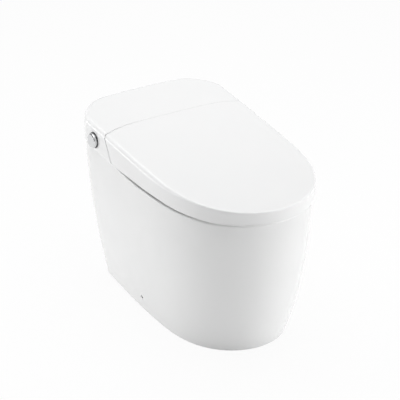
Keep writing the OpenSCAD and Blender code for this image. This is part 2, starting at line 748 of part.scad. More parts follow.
// Warm-air dryer
fan_x = 80;
fan_s = 88;
fan_r = 30;
scroll_r = 36;
scroll_z = tray_floor + seat_gap;
scroll_h = 38;
duct_x = 47;
duct_half = 12;
flap_pin_y = 9.2;
module dryer_duct() {
    w = 2;
    box_half = duct_half + 1;
    color("gainsboro")
        difference() {
            union() {
                translate([fan_x, outlet_to_rear - fan_s, scroll_z]) cylinder(r = scroll_r, h = scroll_h);
                box_s(duct_x - box_half, duct_x + box_half, fan_s, 157, scroll_z, scroll_z + scroll_h);
                along_wand(duct_x) translate([-duct_half, -11, -112]) cube([2 * duct_half, 22, 109.4]);
                for (x = [-duct_half - 3, duct_half - 0.5])
                    along_wand(duct_x) translate([x, flap_pin_y - 4, -9]) cube([3.5, 7.5, 12]);
            }
            along_wand(duct_x) translate([-duct_half - 5, flap_pin_y, 0]) rotate([0, 90, 0])
                cylinder(r = 1.66, h = 2 * duct_half + 10);
            translate([fan_x, outlet_to_rear - fan_s, scroll_z + w]) cylinder(r = scroll_r - w, h = scroll_h - 2 * w);
            translate([fan_x, outlet_to_rear - fan_s, scroll_z + w]) cylinder(r = 3.2, h = scroll_h);
            translate([fan_x, outlet_to_rear - fan_s, scroll_z - 1]) cylinder(r = 14, h = 2 * w);
            box_s(duct_x - box_half + w, duct_x + box_half - w, fan_s + 4, 155, scroll_z + w, scroll_z + scroll_h - w);
            along_wand(duct_x) translate([-duct_half + w, -9, -111]) cube([2 * duct_half - 2 * w, 18, 120]);
        }
}
module fan_rotor() {
    color("dimgray")
        translate([fan_x, outlet_to_rear - fan_s, scroll_z + 4]) {
            difference() {
                union() {
                    cylinder(r = fan_r, h = 2);
                    cylinder(r = 9, h = 26);
                }
                translate([0, 0, 3]) cylinder(r = 2.5 + 0.05, h = 30);
            }
            for (k = [0:17])
                rotate([0, 0, k * 20]) translate([fan_r - 9, 0, 1.9]) rotate([0, 0, 35]) translate([-6, -0.7, 0]) cube([12, 1.4, 24]);
        }
}
module fan_motor() {
    color("silver")
        translate([fan_x, outlet_to_rear - fan_s, scroll_z + scroll_h + seat_gap]) {
            cylinder(r = 17, h = 16);
            translate([0, 0, -scroll_h + 10]) cylinder(r = 2.5, h = scroll_h - 9);
        }
}
module dryer_flap() {
    color("whitesmoke")
        along_wand(duct_x) {
            translate([-duct_half + 0.8, -11, -1.1]) cube([2 * duct_half - 1.6, 19, 2.2]);
            translate([-duct_half - 2.8, flap_pin_y, 0]) rotate([0, 90, 0]) cylinder(r = 1.6, h = 2 * duct_half + 5.6);
        }
}

// Water parts
inlet_x = 134;
inlet_s = 128;
pipe_s = 84;
module water_heater() {
    color("dimgray") {
        box_s(-158, -60, 78, 124, tray_floor + seat_gap, tray_floor + 42);
        for (x = [-145, -75])
            translate([x, outlet_to_rear - 101, tray_floor + 41]) cylinder(r = 6, h = 14);
    }
}
module flush_valve() {
    z = tray_floor + seat_gap;
    color("gainsboro") {
        box_s(inlet_x - 16, inlet_x + 16, inlet_s - 66, inlet_s + 10, z, z + 26);
        translate([inlet_x, outlet_to_rear - inlet_s + 34, z + 25]) cylinder(r = 14, h = 24);
    }
}
module inlet_connector() {
    color("goldenrod")
        translate([inlet_x, outlet_to_rear - inlet_s, 0]) {
            translate([0, 0, tray_floor + seat_gap - 4 - 60]) cylinder(r = 10.4, h = 20);
            translate([0, 0, tray_floor - 44]) cylinder(r = 15, h = 8, $fn = 6);
            translate([0, 0, tray_floor - 37]) cylinder(r = 13, h = 37);
        }
}
module flush_pipe() {
    color("white")
        translate([0, outlet_to_rear - pipe_s, flush_z]) {
            translate([inlet_x, 0, 0]) cylinder(r = flush_r, h = tray_floor - flush_z);
            translate([inlet_x, 0, 0]) sphere(r = flush_r);
            translate([flush_x, 0, 0]) rotate([0, 90, 0]) cylinder(r = flush_r, h = inlet_x - flush_x);
            translate([flush_x, 0, 0]) sphere(r = flush_r);
            translate([flush_x, 0, 0]) rotate([90, 0, 0]) cylinder(r = flush_r, h = outlet_to_rear - pipe_s);
        }
}

// Electrics
module control_case() {
    z = tray_floor + seat_gap;
    color("lightgray")
        difference() {
            box_s(-126, -20, 30, 74, z, z + 34);
            box_s(-124, -22, 32, 72, z + 2, z + 40);
        }
}
module control_board() {
    color("darkgreen")
        box_s(-122, -24, 34, 70, tray_floor + seat_gap + 2.3, tray_floor + seat_gap + 4);
}
gland_x = 0;
gland_s = 95;
module cable_gland() {
    color("dimgray")
        translate([gland_x, outlet_to_rear - gland_s, 0]) {
            translate([0, 0, tray_floor + seat_gap]) cylinder(r = 10, h = 6, $fn = 6);
            difference() {
                translate([0, 0, tray_low - 16]) cylinder(r = 6, h = 21);
                translate([0, 0, tray_low - 17]) cylinder(r = 3.5, h = 12);
            }
        }
}

// Floor fixing
module outlet_seal() {
    color("dimgray")
        difference() {
            cylinder(r = horn_r + 8, h = horn_z - seat_gap);
            translate([0, 0, -1]) cylinder(r = outlet_r + 2, h = horn_z + 2);
        }
}
bracket_half = 18;
floor_bolt_x = 122;
bracket_x = min([for (s = [-1, 1]) half_width(body_ring(0), fix_s + s * bracket_half)]) - skirt_wall - seat_gap;
module floor_brackets() {
    color("silver")
        for (side = [-1, 1])
            mirror([side < 0 ? 1 : 0, 0, 0])
                translate([0, outlet_to_rear - fix_s, 0])
                    difference() {
                        union() {
                            translate([bracket_x - 3, -bracket_half, 0]) cube([3, 2 * bracket_half, fix_z + 14]);
                            translate([bracket_x - 40, -bracket_half, 0]) cube([40, 2 * bracket_half, 3]);
                        }
                        translate([bracket_x - 10, 0, fix_z]) rotate([0, 90, 0]) cylinder(r = 3.02, h = 20);
                        translate([floor_bolt_x, 0, -1]) cylinder(r = 4, h = 6);
                    }
}
module side_screws() {
    color("silver")
        for (side = [-1, 1])
            translate([side * (bracket_x - 10), outlet_to_rear - fix_s, fix_z]) rotate([0, side * 90, 0]) {
                cylinder(r = 3, h = 18);
                translate([0, 0, 17]) cylinder(r = 4.2, h = 5);
            }
}
module chassis_bolts() {
    color("silver")
        for (side = [-1, 1], b = bolt_places)
            translate([side * b[0], outlet_to_rear - b[1], 0]) {
                translate([0, 0, rim_z - deck_t - 14]) cylinder(r = 3, h = tray_floor - rim_z + deck_t + 15);
                translate([0, 0, tray_floor + seat_gap]) cylinder(r = 6, h = 4);
            }
}
module chassis_nuts() {
    color("silver")
        for (side = [-1, 1], b = bolt_places)
            translate([side * b[0], outlet_to_rear - b[1], rim_z - deck_t - seat_gap - 6])
                difference() {
                    cylinder(r = 7, h = 6, $fn = 6);
                    translate([0, 0, -1]) cylinder(r = 3.02, h = 8);
                }
}

// Front panel of the wash unit, under the lid: open where the arms swing and where the wands leave
module front_fascia() {
    foot = tray_front - 4;
    low = tray_rim_z + seat_gap;
    sill = seat_foot_top - seat_foot_t - 1;
    panel = [[168, 471], [199, 447], [foot, 412], [foot, low], [foot + 3, low], [foot + 3, 413], [201.5, 449.5], [170, 473]];
    inner = pin_in - 2;
    outer = lid_arm_x + arm_t / 2 + 2;
    far = half_width(cover_ring, split_s) - edge_r;
    color("whitesmoke")
        difference() {
            union() {
                side_profile(panel, -inner, inner);
                side_profile(panel, outer, far);
                side_profile(panel, -far, -outer);
                box_s(-far, far, foot, foot + 3, low, sill);
            }
            box_s(-notch_x, notch_x, foot - 5, foot + 8, low - 5, 424);
        }
}

ceramic_skirt();
ceramic_deck();
ceramic_bowl();
ceramic_trapway();
rear_housing();
chassis_tray();
front_fascia();
lid_shell();
lid_arms();
lid_bumpers();
seat_ring();
seat_bottom();
seat_heater();
seat_arms();
seat_bumpers();
hinge_pins();
hinge_brackets();
lid_damper();
seat_damper();
control_knob();
knob_sleeve();
knob_bezel();
knob_encoder();
wand_guide();
wand_nose();
rear_wand();
rear_wand_tip();
front_wand();
front_wand_tip();
wand_motors();
dryer_duct();
fan_rotor();
fan_motor();
dryer_flap();
water_heater();
flush_valve();
inlet_connector();
flush_pipe();
control_case();
control_board();
cable_gland();
outlet_seal();
floor_brackets();
side_screws();
chassis_bolts();
chassis_nuts();
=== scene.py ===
"""Looks for the floor-standing toilet: finishes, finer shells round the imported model, light and camera."""

import json
from math import cos, pi, radians, sin, sqrt

import bpy
from mathutils import Matrix, Vector


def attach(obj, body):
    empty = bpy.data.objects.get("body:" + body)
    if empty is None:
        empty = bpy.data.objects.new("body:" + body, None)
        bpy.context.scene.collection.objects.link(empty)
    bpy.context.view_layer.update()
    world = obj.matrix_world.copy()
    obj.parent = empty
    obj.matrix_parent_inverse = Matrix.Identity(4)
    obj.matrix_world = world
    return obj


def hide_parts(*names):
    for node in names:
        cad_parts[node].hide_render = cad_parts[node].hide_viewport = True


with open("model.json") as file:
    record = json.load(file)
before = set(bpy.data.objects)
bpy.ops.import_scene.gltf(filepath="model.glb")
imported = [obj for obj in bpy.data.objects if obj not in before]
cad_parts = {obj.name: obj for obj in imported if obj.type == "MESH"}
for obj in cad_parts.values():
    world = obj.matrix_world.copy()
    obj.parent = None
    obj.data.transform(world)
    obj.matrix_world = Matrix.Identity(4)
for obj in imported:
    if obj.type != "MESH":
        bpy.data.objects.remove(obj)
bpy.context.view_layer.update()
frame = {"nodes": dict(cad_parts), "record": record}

MM = 0.001


# Shader wires and finishes

class Wire:
    """A socket in a node tree that can be used in arithmetic."""

    def __init__(self, bench, socket):
        self.bench = bench
        self.socket = socket

    def _math(self, operation, first, *rest):
        return self.bench.node("ShaderNodeMath", {"operation": operation}, dict(enumerate((first, *rest))))

    def __add__(self, other):
        return self._math("ADD", self, other)

    __radd__ = __add__

    def __mul__(self, other):
        return self._math("MULTIPLY", self, other)

    __rmul__ = __mul__

    def __rsub__(self, other):
        return self._math("SUBTRACT", other, self)

    def __gt__(self, other):
        return self._math("GREATER_THAN", self, other)

    def __lt__(self, other):
        return self._math("LESS_THAN", self, other)

    def sine(self):
        return self._math("SINE", self)

    def fraction(self):
        return self._math("FRACT", self)

    def larger(self, other):
        return self._math("MAXIMUM", self, other)


class Bench:
    """A node tree, with the one way to add a node to it."""

    def __init__(self, tree):
        self.tree = tree

    def feed(self, socket, value):
        if isinstance(value, Wire):
            self.tree.links.new(value.socket, socket)
        elif isinstance(value, tuple) and len(socket.default_value) > len(value):
            socket.default_value = (*value, 1.0)
        else:
            socket.default_value = value

    def node(self, kind, settings=(), sockets=(), output=0):
        """Adds a node, its settings first and then its sockets' values, and gives one of its outputs."""
        made = self.tree.nodes.new(kind)
        for name, value in dict(settings).items():
            setattr(made, name, value)
        for name, value in dict(sockets).items():
            self.feed(made.inputs[name], value)
        return Wire(self, made.outputs[output])


class Finish(Bench):
    """One material: its shader, and the nodes that feed it."""

    def __init__(self, name, constants):
        self.material = bpy.data.materials.new(name)
        self.material.use_nodes = True
        super().__init__(self.material.node_tree)
        self.shader = self.tree.nodes["Principled BSDF"]
        self.feed_shader(constants)

    def feed_shader(self, values):
        for socket, value in values.items():
            self.feed(self.shader.inputs[socket], value)

    def place(self):
        return self.node("ShaderNodeTexCoord", output="Object")

    def along(self, axis):
        return self.node("ShaderNodeSeparateXYZ", {}, {0: self.place()}, axis)

    def stretched(self, x, y, z):
        """The object's own coordinates, scaled on each axis."""
        return self.node("ShaderNodeVectorMath", {"operation": "MULTIPLY"}, {0: self.place(), 1: (x, y, z)})

    def noise(self, scale, detail=2.0, vector=None):
        sockets = {"Scale": scale, "Detail": detail, "Vector": vector or self.place()}
        return self.node("ShaderNodeTexNoise", {}, sockets, "Fac")

    def mix(self, share, first, second):
        """A colour between two others: a Mix node's colour sockets are its seventh and eighth."""
        return self.node("ShaderNodeMix", {"data_type": "RGBA"}, {0: share, 6: first, 7: second}, 2)

    def surface(self, color, roughness, height, depth, edge):
        """Feeds what varies: the bump is height times depth, over edges rounded by edge, both in metres."""
        rounded = self.node("ShaderNodeBevel", {"samples": 4}, {"Radius": edge})
        bump = self.node("ShaderNodeBump", {}, {"Height": height, "Distance": depth, "Normal": rounded})
        self.feed_shader({"Base Color": color, "Roughness": roughness, "Normal": bump})
        return self.material


def glazed_ceramic():
    f = Finish("glazed_ceramic", {"IOR": 1.52, "Coat Roughness": 0.02, "Coat IOR": 1.5})
    cloud = f.noise(5.0, 3.0)
    ripple = f.noise(14.0, 1.0)
    orange_peel = f.noise(260.0)
    tone = f.mix(cloud, (0.845, 0.85, 0.85), (0.875, 0.876, 0.873))
    f.feed_shader({"Coat Weight": 0.35 + 0.25 * cloud})
    height = ripple + 0.02 * orange_peel
    return f.surface(tone, 0.10 + 0.06 * orange_peel, height, depth=0.00035, edge=0.0015)


def cover_plastic():
    f = Finish("cover_plastic", {"IOR": 1.5})
    cloud = f.noise(7.0)
    grain = f.noise(900.0)
    tone = f.mix(cloud, (0.885, 0.888, 0.89), (0.905, 0.906, 0.905))
    return f.surface(tone, 0.20 + 0.05 * cloud + 0.04 * grain, grain, depth=0.000012, edge=0.0010)


def seat_plastic():
    f = Finish("seat_plastic", {"IOR": 1.5})
    cloud = f.noise(9.0)
    grain = f.noise(700.0)
    tone = f.mix(cloud, (0.87, 0.872, 0.874), (0.895, 0.896, 0.895))
    return f.surface(tone, 0.24 + 0.06 * cloud, grain, depth=0.000015, edge=0.0012)


def moulded_plastic(name, dark, light, rough):
    f = Finish(name, {"IOR": 1.49})
    cloud = f.noise(18.0, 3.0)
    spark = f.noise(1600.0, 3.0)
    tone = f.mix(cloud, dark, light)
    return f.surface(tone, rough + 0.12 * spark, spark, depth=0.00003, edge=0.0006)


def chrome(name, dark, light):
    f = Finish(name, {"Metallic": 1.0})
    smudge = f.noise(90.0, 4.0)
    swell = f.noise(40.0, 1.0)
    tone = f.mix(smudge, dark, light)
    return f.surface(tone, 0.045 + 0.06 * smudge * smudge, swell, depth=0.00001, edge=0.0005)


def brushed_steel(name, dark, light):
    f = Finish(name, {"Metallic": 1.0})
    lines = f.noise(60.0, 4.0, f.stretched(0.5, 40.0, 40.0))
    tone = f.mix(lines, dark, light)
    return f.surface(tone, 0.22 + 0.16 * lines, lines, depth=0.00002, edge=0.0005)


def machined_brass():
    f = Finish("machined_brass", {"Metallic": 1.0})
    rings = (f.along("Z") * 9000.0).sine() * 0.5 + 0.5
    tarnish = f.noise(120.0, 4.0)
    tone = f.mix(tarnish, (0.70, 0.50, 0.22), (0.80, 0.63, 0.34))
    return f.surface(tone, 0.20 + 0.15 * tarnish, rings, depth=0.00002, edge=0.0005)


def silicone(name, dark, light):
    f = Finish(name, {"IOR": 1.43})
    bloom = f.noise(220.0, 4.0)
    grain = f.noise(900.0)
    tone = f.mix(bloom, dark, light)
    return f.surface(tone, 0.55 + 0.15 * bloom, grain, depth=0.00002, edge=0.0008)


def circuit_board():
    f = Finish("circuit_board", {"IOR": 1.5})
    along = (f.along("X") * 420.0 + f.noise(30.0, 1.0) * 3.0).fraction() < 0.3
    across = (f.along("Y") * 380.0 + f.noise(24.0, 1.0) * 3.0).fraction() < 0.3
    track = along.larger(across) * (f.noise(55.0, 0.0) > 0.5)
    tone = f.mix(track, (0.012, 0.10, 0.04), (0.04, 0.22, 0.09))
    return f.surface(tone, 0.35 - 0.1 * track, track, depth=0.00004, edge=0.0004)


def heater_foil():
    f = Finish("heater_foil", {"IOR": 1.5})
    track = (f.along("X") * 180.0).fraction() > 0.5
    tone = f.mix(track, (0.42, 0.20, 0.04), (0.66, 0.40, 0.18))
    return f.surface(tone, 0.35 - 0.1 * track, track + 0.2 * f.noise(300.0), depth=0.00006, edge=0.0003)


FINISHES = {
    "glazed_ceramic": glazed_ceramic(),
    "cover_plastic": cover_plastic(),
    "seat_plastic": seat_plastic(),
    "inner_plastic": moulded_plastic("inner_plastic", (0.60, 0.60, 0.59), (0.68, 0.68, 0.67), 0.42),
    "dark_plastic": moulded_plastic("dark_plastic", (0.018, 0.018, 0.02), (0.035, 0.035, 0.038), 0.40),
    "chrome": chrome("chrome", (0.66, 0.67, 0.68), (0.74, 0.745, 0.75)),
    # painted shade and reflection: a dark chrome for the knob's bezel, so that the knob shows a dark outline
    "shade_painted_chrome": chrome("shade_painted_chrome", (0.09, 0.09, 0.095), (0.14, 0.14, 0.145)),
    "steel": brushed_steel("brushed_steel", (0.46, 0.46, 0.47), (0.62, 0.62, 0.62)),
    # painted shade: a near-black steel for the side screws, so that their fixing holes look dark inside
    "shade_painted_steel": brushed_steel("shade_painted_dark_steel", (0.015, 0.015, 0.016), (0.04, 0.04, 0.042)),
    "brass": machined_brass(),
    "rubber": silicone("pale_silicone", (0.56, 0.56, 0.55), (0.64, 0.64, 0.63)),
    "seal_rubber": silicone("black_rubber", (0.02, 0.02, 0.02), (0.035, 0.035, 0.035)),
    "circuit_board": circuit_board(),
    "heater_foil": heater_foil(),
}


# Sizes in millimetres: S is a distance from the rear, Z a height, and FULL the power of a superellipse.
# CUT is how far a cutting tool reaches past a surface, and LAP how far joined shapes overlap.

COVER_LEN, COVER_W, COVER_WIDEST = 720.0, 418.0, 296.0
REAR_H, FRONT_H = 490.0, 439.0
OUTLET_TO_REAR = 292.0
CORNER_R, CORNER_FULL = 99.5, 1.86
REAR_HALF_W, REAR_BOW = 208.6, 12.0
FRONT_FULL, SIDE_FULL = 3.6, 1.97
SKIRT_Z = 407.0
RIM_Z = 397.4
CUT, LAP = 5.0, 1.0

# Steps along the four stretches of half an outline
REAR_STEPS, CORNER_STEPS, SIDE_STEPS, FRONT_STEPS = 6, 21, 13, 56
ROD_SIDES = 64
SHARP_ANGLE = 35.0


def clip01(value):
    return min(1.0, max(0.0, value))


def eased(value):
    """A share that starts and ends gently."""
    w = clip01(value)
    return w * w * (3 - 2 * w)


def quarter(steps):
    """Angles from 0 to a quarter turn."""
    return [k * pi / 2 / steps for k in range(steps + 1)]


def half_outline(length, width, widest, front_full, side_full, corner, corner_full, half_w, bow):
    """Half a plan outline as (x, distance from the rear), from the rear middle to the front middle."""
    points = [(k / REAR_STEPS * (half_w - corner), 0.0) for k in range(REAR_STEPS)]
    for t in quarter(CORNER_STEPS):
        points.append((half_w - corner + corner * sin(t) ** (2 / corner_full),
                       corner - corner * max(cos(t), 0.0) ** (2 / corner_full)))
    for k in range(1, SIDE_STEPS + 1):
        u = k / SIDE_STEPS
        points.append((half_w + (width / 2 - half_w) * sin(u * pi / 2), corner + u * (widest - corner)))
    for t in quarter(FRONT_STEPS)[1:-1]:
        points.append((width / 2 * cos(t) ** (2 / side_full),
                       widest + (length - widest) * sin(t) ** (2 / front_full)))
    points.append((0.0, length))
    return [(x, s + bow * (x / half_w) ** 2 * clip01(1 - s / widest) ** 2) for x, s in points]


def whole(half):
    """The full ring from its half, clockwise seen from above."""
    return half + [(-x, s) for x, s in half[-2:0:-1]]


def inset(ring, distance):
    """A ring moved inwards by a distance, or by the one that distance gives for each point's place."""
    n = len(ring)
    moved = []
    for i, (x, s) in enumerate(ring):
        ax, a_s = ring[i - 1]
        bx, b_s = ring[(i + 1) % n]
        tx, ts = bx - ax, b_s - a_s
        step = (distance(s) if callable(distance) else distance) / sqrt(tx * tx + ts * ts)
        moved.append((x - step * ts, s + step * tx))
    return moved


def placed(ring, z):
    """A ring of (x, distance from the rear) at height z, or at the height that z gives for a distance."""
    return [(x, OUTLET_TO_REAR - s, z(s) if callable(z) else z) for x, s in ring]


def oval_at(ring, middle, half_len, half_wide, full):
    """A superellipse round (0, middle), through the directions of another ring's points."""
    points = []
    for x, s in ring:
        ds = s - middle
        length = sqrt(x * x + ds * ds)
        u, v = x / length, ds / length
        k = 1 / ((abs(u) / half_wide) ** full + (abs(v) / half_len) ** full) ** (1 / full)
        points.append((u * k, middle + v * k))
    return points


def new_object(name, data):
    made = bpy.data.objects.new(name, data)
    bpy.context.scene.collection.objects.link(made)
    return made


def mesh_from(name, points, faces):
    mesh = bpy.data.meshes.new(name)
    mesh.from_pydata([tuple(c * MM for c in p) for p in points], [], faces)
    mesh.validate()
    return new_object(name, mesh)


def loft(name, rings):
    """A closed solid through rings, clockwise seen from above and stacked upwards."""
    n, m = len(rings[0]), len(rings)
    points = [p for ring in rings for p in ring]
    for ring in (rings[0], rings[-1]):
        points.append(tuple(sum(p[c] for p in ring) / n for c in range(3)))
    faces = []
    for k in range(m - 1):
        for i in range(n):
            j = (i + 1) % n
            faces.append((k * n + i, (k + 1) * n + i, (k + 1) * n + j, k * n + j))
    for i in range(n):
        j = (i + 1) % n
        faces.append((i, j, m * n))
        faces.append(((m - 1) * n + j, (m - 1) * n + i, m * n + 1))
    return mesh_from(name, points, faces)


def hoop(name, rings):
    """A closed tube through rings that ends where it starts."""
    n, m = len(rings[0]), len(rings)
    faces = []
    for k in range(m):
        a, b = k * n, (k + 1) % m * n
        for i in range(n):
            j = (i + 1) % n
            faces.append((a + i, b + i, b + j, a + j))
    return mesh_from(name, [p for ring in rings for p in ring], faces)


def block(x0, x1, s0, s1, z0, z1):
    """A box between two widths, distances from the rear and heights."""
    plan = ((x0, s0), (x1, s0), (x1, s1), (x0, s1))
    faces = [(0, 1, 2, 3), (7, 6, 5, 4), (0, 4, 5, 1), (1, 5, 6, 2), (2, 6, 7, 3), (3, 7, 4, 0)]
    return mesh_from("block", placed(plan, z0) + placed(plan, z1), faces)


def rod(start, end, radius):
    """A plain cylinder between two points in millimetres."""
    a, b = Vector(start), Vector(end)
    turn = (b - a).to_track_quat("Z", "Y").to_matrix()
    spokes = [-2 * pi * k / ROD_SIDES for k in range(ROD_SIDES)]
    circle = [turn @ Vector((radius * cos(t), radius * sin(t), 0)) for t in spokes]
    return loft("rod", [[tuple(base + p) for p in circle] for base in (a, b)])


def evaluate(piece):
    """Makes the piece's modifiers real."""
    graph = bpy.context.evaluated_depsgraph_get()
    mesh = bpy.data.meshes.new_from_object(piece.evaluated_get(graph))
    old = piece.data
    piece.modifiers.clear()
    piece.data = mesh
    bpy.data.meshes.remove(old)


def combine(piece, operation, *tools):
    for tool in tools:
        step = piece.modifiers.new(operation.lower(), "BOOLEAN")
        step.operation = operation
        step.solver = "MANIFOLD"
        step.object = tool
        evaluate(piece)
        bpy.data.objects.remove(tool)
    return piece


def dress(piece, body, slot, *nodes):
    """Shades a piece, and gives it its finish, its body and the nodes that it stands for."""
    piece.data.shade_smooth()
    piece.data.set_sharp_from_angle(angle=radians(SHARP_ANGLE))
    piece.modifiers.new("even_shading", "WEIGHTED_NORMAL").keep_sharp = True
    piece.data.materials.clear()
    piece.data.materials.append(FINISHES[slot])
    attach(piece, body)
    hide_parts(*nodes)


# Cover: housing and lid, one form that is split along a surface which bends and leans

COVER_RING = whole(half_outline(COVER_LEN, COVER_W, COVER_WIDEST, FRONT_FULL, SIDE_FULL,
                                CORNER_R, CORNER_FULL, REAR_HALF_W, REAR_BOW))
LID_WALL, HOUSING_WALL = 3.5, 3.0
INNER_LOW = SKIRT_Z - CUT

# Upper edge: its radius on the sides and in front, where it changes, and how far in the flat top's ring lies
EDGE_R, EDGE_FRONT_R, EDGE_SOFT_S, EDGE_CRISP_S = 13.2, 4.8, 400.0, 610.0
EDGE_STEPS, FLAT_IN = 8, 4.0

# Split: its place in the middle of the top, its arc, its lean, its gap, and the thin lips along it
SPLIT_S, SPLIT_BOW, SPLIT_FULL, SPLIT_BEND_X = 169.8, 20.5, 4.6, 192.0
LEAN_MID, LEAN_SIDE = 0.8, 0.56
SPLIT_GAP_MID, SPLIT_GAP_SIDE, GAP_POWER = 0.5, 3.0, 2
LIP_T, LIP_DEPTH = 0.9, 8.0

# How far the spaces that cut the split reach below the skirt line, above the top, and past ends and sides
SPACE_LOW, SPACE_HIGH, SPACE_END, SPACE_SIDE, SPACE_COLUMNS = 15.0, 10.0, 20.0, 12.0, 120

# Seam below the housing, and the space that is cut there
SEAM_RISE, SEAM_GAP = 0.083, 0.8
SEAM_CUT_X, SEAM_CUT_REAR, SEAM_CUT_DEEP = 260.0, 40.0, 60.0

KNOB_S, KNOB_Z, KNOB_D, KNOB_ROOM = 139.0, 439.2, 39.0, 1.9
KNOB_HOLE_OUT, KNOB_HOLE_IN = REAR_HALF_W + 15.0, REAR_HALF_W - 20.0


def top_at(s):
    return REAR_H + (FRONT_H - REAR_H) * s / COVER_LEN


def edge_at(s):
    """Radius of the cover's upper edge: soft along the sides and crisp round the front."""
    return EDGE_R + (EDGE_FRONT_R - EDGE_R) * eased((s - EDGE_SOFT_S) / (EDGE_CRISP_S - EDGE_SOFT_S))


def cover_block(depth, low_z):
    """The cover as one solid, moved inwards by a depth, from a height up to its sloping top."""
    side = inset(COVER_RING, depth)
    rings = [placed(side, low_z), placed(side, lambda s: (low_z + top_at(s) - edge_at(s)) / 2)]
    for t in quarter(EDGE_STEPS):
        ring = inset(side, lambda s: (edge_at(s) - depth) * (1 - cos(t)))
        rings.append(placed(ring, lambda s: top_at(s) - depth - (edge_at(s) - depth) * (1 - sin(t))))
    rings.append(placed(inset(side, lambda s: edge_at(s) - depth + FLAT_IN), lambda s: top_at(s) - depth))
    return loft("cover", rings)


def side_share(x, power):
    return min(1.0, abs(x) / SPLIT_BEND_X) ** power


def split_at(x, z):
    w = side_share(x, SPLIT_FULL)
    s = SPLIT_S + SPLIT_BOW * w
    return s + (LEAN_MID + (LEAN_SIDE - LEAN_MID) * w) * (top_at(s) - z)


def gap_at(x):
    """Width of the gap between housing and lid, which opens towards the knob's side."""
    return SPLIT_GAP_MID + (SPLIT_GAP_SIDE - SPLIT_GAP_MID) * side_share(min(x, 0.0), GAP_POWER)


SEAM_S = split_at(REAR_HALF_W, SKIRT_Z)


def seam_at(s):
    """Height of the housing's lower edge, which rises to the rear."""
    return SKIRT_Z + SEAM_RISE * (SEAM_S - s)


def split_space(side, reach=0.0):
    """The space on one side of the split, 1 for the lid's and -1 for the housing's, grown by a reach."""
    heights = (SKIRT_Z - SPACE_LOW, REAR_H + SPACE_HIGH)
    far = COVER_LEN + SPACE_END if side > 0 else -SPACE_END
    xs = [(k / SPACE_COLUMNS * 2 - 1) * (COVER_W / 2 + SPACE_SIDE) for k in range(SPACE_COLUMNS + 1)]
    points = []
    for z in heights:
        points += placed([(x, split_at(x, z) + side * (gap_at(x) / 2 - reach)) for x in xs], z)
    for z in heights:
        points += placed([(x, far) for x in xs], z)
    n = len(xs)
    faces = []
    for i in range(SPACE_COLUMNS):
        faces += [(i, i + 1, n + i + 1, n + i), (2 * n + i + 1, 2 * n + i, 3 * n + i, 3 * n + i + 1),
                  (n + i, n + i + 1, 3 * n + i + 1, 3 * n + i), (i + 1, i, 2 * n + i, 2 * n + i + 1)]
    faces += [(0, n, 3 * n, 2 * n), (n - 1, 3 * n - 1, 4 * n - 1, 2 * n - 1)]
    if side < 0:
        faces = [f[::-1] for f in faces]
    return mesh_from("split", points, faces)


def lip_space(side):
    """What is taken from the wall behind its edge at the split, so that only a thin lip stays there."""
    return combine(cover_block(LIP_T, INNER_LOW), "INTERSECT", split_space(side, LIP_DEPTH))


def cover_shell(name, side, wall):
    """The hollow cover on one side of the split, 1 for the lid and -1 for the housing."""
    shell = cover_block(0, SKIRT_Z)
    combine(shell, "DIFFERENCE", cover_block(wall, INNER_LOW))
    combine(shell, "INTERSECT", split_space(side))
    combine(shell, "DIFFERENCE", lip_space(-side))
    shell.name = name
    return shell


def below_seam():
    plan = ((-SEAM_CUT_X, COVER_LEN), (-SEAM_CUT_X, -SEAM_CUT_REAR),
            (SEAM_CUT_X, -SEAM_CUT_REAR), (SEAM_CUT_X, COVER_LEN))
    return loft("below_seam", [placed(plan, SKIRT_Z - SEAM_CUT_DEEP), placed(plan, seam_at)])


def cover_pieces():
    housing = cover_shell("housing_cover", -1, HOUSING_WALL)
    y = OUTLET_TO_REAR - KNOB_S
    hole = rod((-KNOB_HOLE_OUT, y, KNOB_Z), (-KNOB_HOLE_IN, y, KNOB_Z), KNOB_D / 2 + KNOB_ROOM)
    combine(housing, "DIFFERENCE", below_seam(), hole)
    dress(housing, "root", "cover_plastic", "rear_housing")
    dress(cover_shell("lid_cover", 1, LID_WALL), "lid", "cover_plastic", "lid_shell")


# Ceramic body: one mesh for the four imported sections

RIM_INSET_FRONT, RIM_INSET_SIDE, RIM_INSET_REAR, RIM_REAR_S = 14.7, 3.1, 3.3, 200.0
FOOT_LEN, FOOT_W, FOOT_WIDEST = 623.7, 318.0, 381.0
FOOT_FRONT_FULL, FOOT_SIDE_FULL = 2.71, 2.0
FOOT_CORNER_R, FOOT_CORNER_FULL = 84.0, 1.65
FOOT_REAR_HALF_W, FOOT_REAR_IN = 140.0, 1.3
CURVE_FRONT, CURVE_SIDE, CURVE_REAR, CURVE_FRONT_S = 2.43, 1.55, 2.03, 300.0
SKIRT_WALL, DECK_T, RIM_R, RIM_STEPS, UPSTAND_T = 10.0, 16.0, 5.0, 6, 12.0
DECK_LOW = RIM_Z - DECK_T

FOOT_RING = [(x, s + FOOT_REAR_IN) for x, s in whole(half_outline(
    FOOT_LEN, FOOT_W, FOOT_WIDEST, FOOT_FRONT_FULL, FOOT_SIDE_FULL,
    FOOT_CORNER_R, FOOT_CORNER_FULL, FOOT_REAR_HALF_W, 0))]
RIM_RING = [(x, s + RIM_INSET_REAR * clip01(1 - s / RIM_REAR_S)) for x, s in whole(half_outline(
    COVER_LEN - RIM_INSET_FRONT, COVER_W - 2 * RIM_INSET_SIDE, COVER_WIDEST, FRONT_FULL, SIDE_FULL,
    CORNER_R, CORNER_FULL, REAR_HALF_W - RIM_INSET_SIDE, REAR_BOW))]

# Shares of the rim's height at which the body's outer and inner rings lie
SKIN_LEVELS = (0, 0.004, 0.03, 0.06, 0.1, 0.14, 0.18, 0.23, 0.28, 0.33,
               0.39, 0.45, 0.51, 0.58, 0.65, 0.72, 0.79, 0.86, 0.93, 1 - DECK_T / RIM_Z)
HOLLOW_LEVELS = (0, 0.1, 0.22, 0.38, 0.56, 0.78, 1 - DECK_T / RIM_Z)

